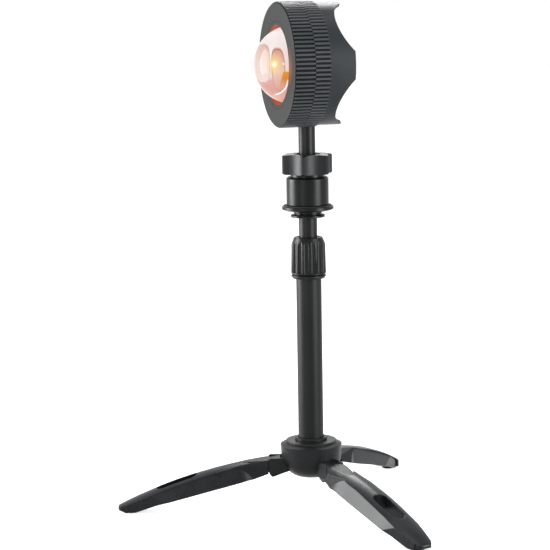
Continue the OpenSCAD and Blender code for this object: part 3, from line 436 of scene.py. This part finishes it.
def paint_source_images(g, colour, across, up):
    """Paints the light source's image twice, with a white streak of light between, and paints its glow over
    both.
    """
    left = lobe(g, across, up, LEFT_CENTRE, LEFT_HALF, SQUARENESS)
    tone = g.ramp(g.map(up, -10, 13, 0, 1), [(0.0, "f3ddd5"), (0.5, "f2ded5"), (1.0, "e6c0b3")])
    # This outline is faint at its left and fades out towards its foot
    part = g.times(g.map(across, -19.5, -15.5, 0.15, 1), g.map(up, -9, 0, 0, 0.85))
    line = g.times(band(g, left, 1.0, LEFT_LINE), part)
    colour = source_image(g, colour, left, tone, line, "c58a7a")

    streak = band(g, across, STREAK_ACROSS, STREAK_HALF)
    streak = g.times(streak, g.map(up, -2, 3, 0, 1), g.map(up, 8, 14, 1, 0))
    colour = g.mix(streak, colour, srgb("fff8f4"))

    right = lobe(g, across, up, RIGHT_CENTRE, RIGHT_HALF, SQUARENESS, RIGHT_LEAN)
    tone = g.ramp(g.map(up, -15, 11, 0, 1), [(0.0, "dfa898"), (0.45, "efc9b4"), (1.0, "dfa088")])
    line = g.times(band(g, right, 1.0, RIGHT_LINE), g.map(up, -14, -4, 0.225, 0.9))
    colour = source_image(g, colour, right, tone, line, "b9705c")

    # Painted glow of the light source over both images
    glow = lobe(g, across, up, GLOW_CENTRE, GLOW_STRETCH)
    colour = g.mix(g.map(glow, 0.8, 6.5, 0.9, 0), colour, srgb("fbdf9c"))
    return g.mix(g.map(glow, 0.6, 2.4, 1, 0), colour, srgb("ffffd8"))


def paint_lower_light(g, colour, across, up):
    """Paints an orange patch of light at the lower right, cut off below by a painted white arc of a lamp's
    reflection.
    """
    edge = g.math("MULTIPLY_ADD", up, PATCH_SLOPE, PATCH_EDGE)
    patch = g.times(g.map(g.minus(across, edge), -0.5, 0.5, 0, 1), g.map(up, -3.6, -3.2, 1, 0))
    patch = g.times(patch, g.map(up, -16, -8, 0, 1))
    orange = g.ramp(g.map(up, -14, -4, 0, 1), [(0.0, "dd9a78"), (0.6, "e08a3c"), (1.0, "eb9a1e")])
    colour = g.mix(patch, colour, orange)
    # Painted reflection: the white arc of a lamp, with a salmon tone outside it
    arc = lobe(g, across, up, ARC_CENTRE, ARC_HALF)
    beyond = g.times(g.map(arc, 1.0, 1.04, 0, 1), g.map(across, -13, -11, 0, 1), g.map(up, -8, -10, 0, 1))
    colour = g.mix(beyond, colour, srgb("e6b0a2"))
    line = g.times(band(g, arc, 1.0, ARC_LINE), g.map(across, -13.5, -9, 0, 1), g.map(up, -7.5, -10, 0, 1))
    return g.mix(g.map(line, 0.25, 0.5, 0, 1), colour, srgb("ffffff"))


def paint_rim_light(g, colour, across, up, back):
    """Paints a pale rim light, a white highlight by the ring, and the red glow of the lens's edge down in the
    gap.
    """
    outline = g.map(lobe(g, across, up, (0, 0), (1, 1)), *OUTLINE_RADII, 0, 0.7)
    colour = g.mix(outline, colour, srgb("e3cbc5"))
    line = g.times(band(g, back, RING_LINE_BACK, RING_LINE_HALF), g.map(up, -3, 2, 0, 0.8))
    colour = g.mix(line, colour, srgb("fffaf8"))
    return g.mix(g.map(back, *RED_BACK, 0, 1), colour, srgb("f0562a"))


def lit_lens(name):
    """Glass dome lit from inside, its look painted as colour and glow: pale pink, with the light source's
    doubled image.
    """
    material, g = new_material(name)
    across, up, back = lens_place(g)
    # Painted glow: pinker towards the foot, paler towards the top
    colour = g.ramp(g.map(up, -24, 24, 0, 1), [
        (0.0, "e3b1a2"), (0.2, "dba69c"), (0.31, "e0b4aa"), (0.36, "f1dad3"), (0.6, "f4e3df"),
        (1.0, "f8eeec"),
    ])
    colour = paint_source_images(g, colour, across, up)
    colour = paint_lower_light(g, colour, across, up)
    colour = paint_rim_light(g, colour, across, up, back)
    g.finish(g.add("BsdfPrincipled", {
        "Base Color": g.mix(0.93, colour, grey(0)),
        "Roughness": g.vary(g.noise(260, 2), 0.02, 0.05),
        "IOR": 1.5,
        "Specular IOR Level": 0.03,
        "Emission Color": colour,
        "Emission Strength": g.map(across, *DOME_GLOW_ACROSS, *DOME_GLOW),
    }))
    return material


dress(lit_lens("lens"), "lens_dome")

# ------------------------------------------------------------ film and light source

# The film's tones run from its middle to this radius
FILM_SPAN = 0.027
# How bright its painted glow is in the middle and at the rim, and the radii between which that changes
FILM_GLOW = (3.0, 0.75)
FILM_GLOW_RADII = (0.002, 0.014)
EMITTER_GLOW = 6.0


def lit_film(name):
    """Filter film lit from behind, that light painted as a glow: yellow in the middle, orange, then red at
    the rim.
    """
    material, g = new_material(name)
    radius = lens_radius(g)
    tone = g.ramp(g.map(radius, 0, FILM_SPAN, 0, 1), [
        (0.0, "fff2b0"), (0.16, "ffd070"), (0.34, "f6a468"), (0.62, "ee7d50"), (0.9, "d8431c"),
    ])
    base = g.add("BsdfPrincipled", {"Base Color": (*srgb("f0603a"), 1), "Roughness": 0.3})
    light = g.add("Emission", {"Color": tone, "Strength": g.map(radius, *FILM_GLOW_RADII, *FILM_GLOW)})
    g.finish(g.join("AddShader", base, light))
    return material


def glowing(name, tone, strength):
    """A surface that gives an even light."""
    material, g = new_material(name)
    g.finish(g.add("Emission", {"Color": (*srgb(tone), 1), "Strength": strength}))
    return material


dress(lit_film("film"), "colour_film")
dress(glowing("emitter", "ffd890", EMITTER_GLOW), "led_chip")

# ------------------------------------------------------------ floor and background

FLOOR_HALF = 6.0
# The floor lies a hair below the feet, so that no face of the lamp is in it
FLOOR_DROP = 0.0002
# Greys of the floor in the light it throws back on the lamp, and as it is seen
FLOOR_PALE = 0.8
FLOOR_SEEN = 0.45
# How bright the floor is near the lamp and away from it, and the distances between which that changes
FLOOR_GLOW = (0.72, 1.0)
FLOOR_GLOW_REACH = (0.25, 0.9)
# The background as it is seen, and the dimmer light that it gives the lamp
BACKGROUND = 1.0
ROOM_LIGHT = 0.35


def seen_as_background(g):
    """1 for the rays that see the white background: from the camera, off gloss and through glass."""
    rays = g.add("LightPath").outputs
    seen = g.math("MAXIMUM", rays["Is Camera Ray"], rays["Is Transmission Ray"])
    return g.math("MAXIMUM", seen, rays["Is Glossy Ray"])


def white_floor(name):
    """It keeps the lamp's shadow near the feet, and further off it turns into the background."""
    material, g = new_material(name)
    distance = g.add("VectorMath", {0: g.place()}, operation="LENGTH").outputs["Value"]
    pale = g.add("BsdfDiffuse", {"Color": (*grey(FLOOR_PALE), 1)})
    shaded = g.add("BsdfDiffuse", {"Color": (*grey(FLOOR_SEEN), 1)})
    glow = g.map(distance, *FLOOR_GLOW_REACH, *FLOOR_GLOW)
    white = g.add("Emission", {"Color": (1, 1, 1, 1), "Strength": glow})
    g.finish(g.join("MixShader", pale, g.join("AddShader", shaded, white), seen_as_background(g)))
    return material


def add_floor():
    """A square floor centred under the pole."""
    mesh = bpy.data.meshes.new("floor")
    corners = [(x * FLOOR_HALF, y * FLOOR_HALF, 0) for x, y in ((-1, -1), (1, -1), (1, 1), (-1, 1))]
    mesh.from_pydata(corners, [], [(0, 1, 2, 3)])
    mesh.materials.append(white_floor("floor"))
    added = bpy.data.objects.new("floor", mesh)
    added.location.z = -FLOOR_DROP
    bpy.context.collection.objects.link(added)
    return added


def add_world():
    """White behind everything, and a dimmer, even light from the room."""
    world = bpy.data.worlds.new("studio")
    world.use_nodes = True
    bpy.context.scene.world = world
    g = Graph(world.node_tree, "ShaderNodeOutputWorld")
    room = g.add("Background", {"Color": (1, 1, 1, 1), "Strength": ROOM_LIGHT})
    white = g.add("Background", {"Color": (1, 1, 1, 1), "Strength": BACKGROUND})
    g.finish(g.join("MixShader", room, white, seen_as_background(g)))


floor = add_floor()
add_world()

# ------------------------------------------------------------ lamps

POLE_MIDDLE = (0, 0, 0.17)
UPPER_POLE = (0, 0, 0.3)
LEFT_LEG = (-0.04, -0.05, 0.03)


def softbox(name, bearing, distance, height, size, power, aim=POLE_MIDDLE):
    """An area lamp. Its bearing about the pole is in degrees, from the camera towards the picture's right."""
    angle = CAMERA_TURN + math.radians(bearing - 90)
    data = bpy.data.lights.new(name, "AREA")
    data.shape = "RECTANGLE"
    data.size, data.size_y = size
    data.energy = power
    lamp = bpy.data.objects.new(name, data)
    lamp.location = (distance * math.cos(angle), distance * math.sin(angle), height)
    lamp.rotation_euler = (Vector(aim) - lamp.location).to_track_quat("-Z", "Y").to_euler()
    bpy.context.collection.objects.link(lamp)


softbox("key_left", -95, 0.9, 0.3, (0.5, 0.9), 34)
softbox("fill_right", 58, 1.0, 0.34, (0.45, 0.8), 21)
softbox("low_front", -26, 1.2, 0.38, (0.14, 0.14), 6, LEFT_LEG)
softbox("overhead", 0, 0.05, 1.3, (0.8, 0.8), 8)
softbox("backlight", 180, 1.2, 0.95, (0.6, 0.25), 9, UPPER_POLE)

bpy.context.scene.view_settings.view_transform = "Standard"
